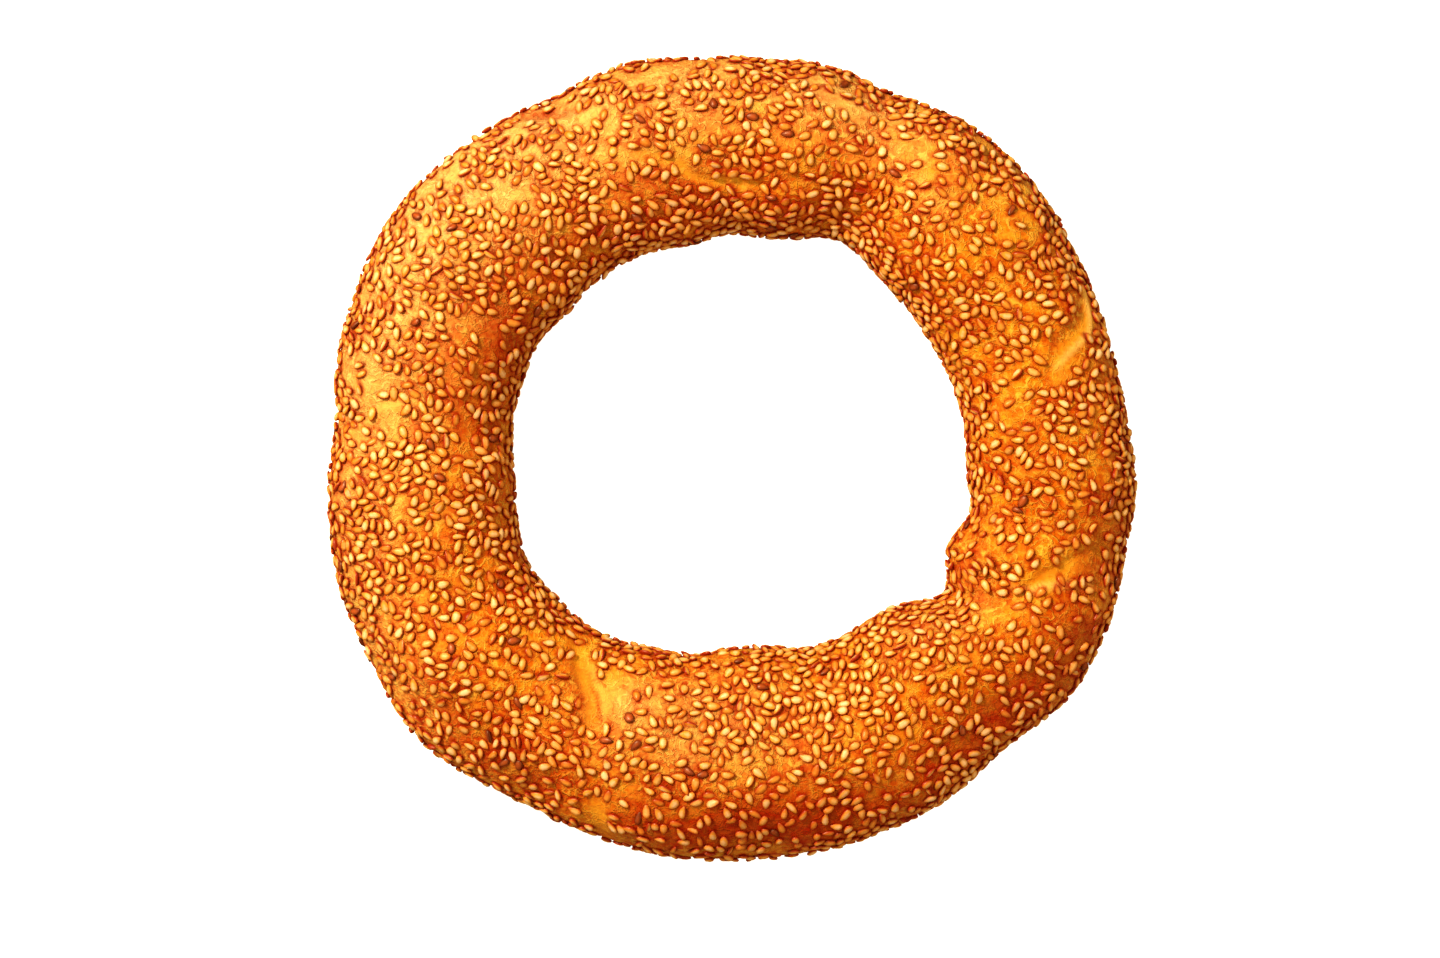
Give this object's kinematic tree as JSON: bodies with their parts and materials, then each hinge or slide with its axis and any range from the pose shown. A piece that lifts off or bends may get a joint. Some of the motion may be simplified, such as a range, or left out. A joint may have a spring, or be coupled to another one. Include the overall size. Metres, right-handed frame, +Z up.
{
  "type": "simit",
  "caption": "Hand-rolled ring of browned bread, flat underneath, rounded and uneven on top, crusted all over with sesame seeds.",
  "frame": {"origin": "middle of the ring's outline, on the surface that its flat underside rests on", "axes": "+Z up through the ring's hole; +X and +Y across the ring, with the lapped end of the dough in the +X -Y quarter"},
  "size_m": [0.1793, 0.1783, 0.03],
  "materials": {
    "crust": "satin",
    "sesame_seed": "satin"
  },
  "bodies": {
    "root": {"bread_ring": "crust"}
  },
  "joints": []
}
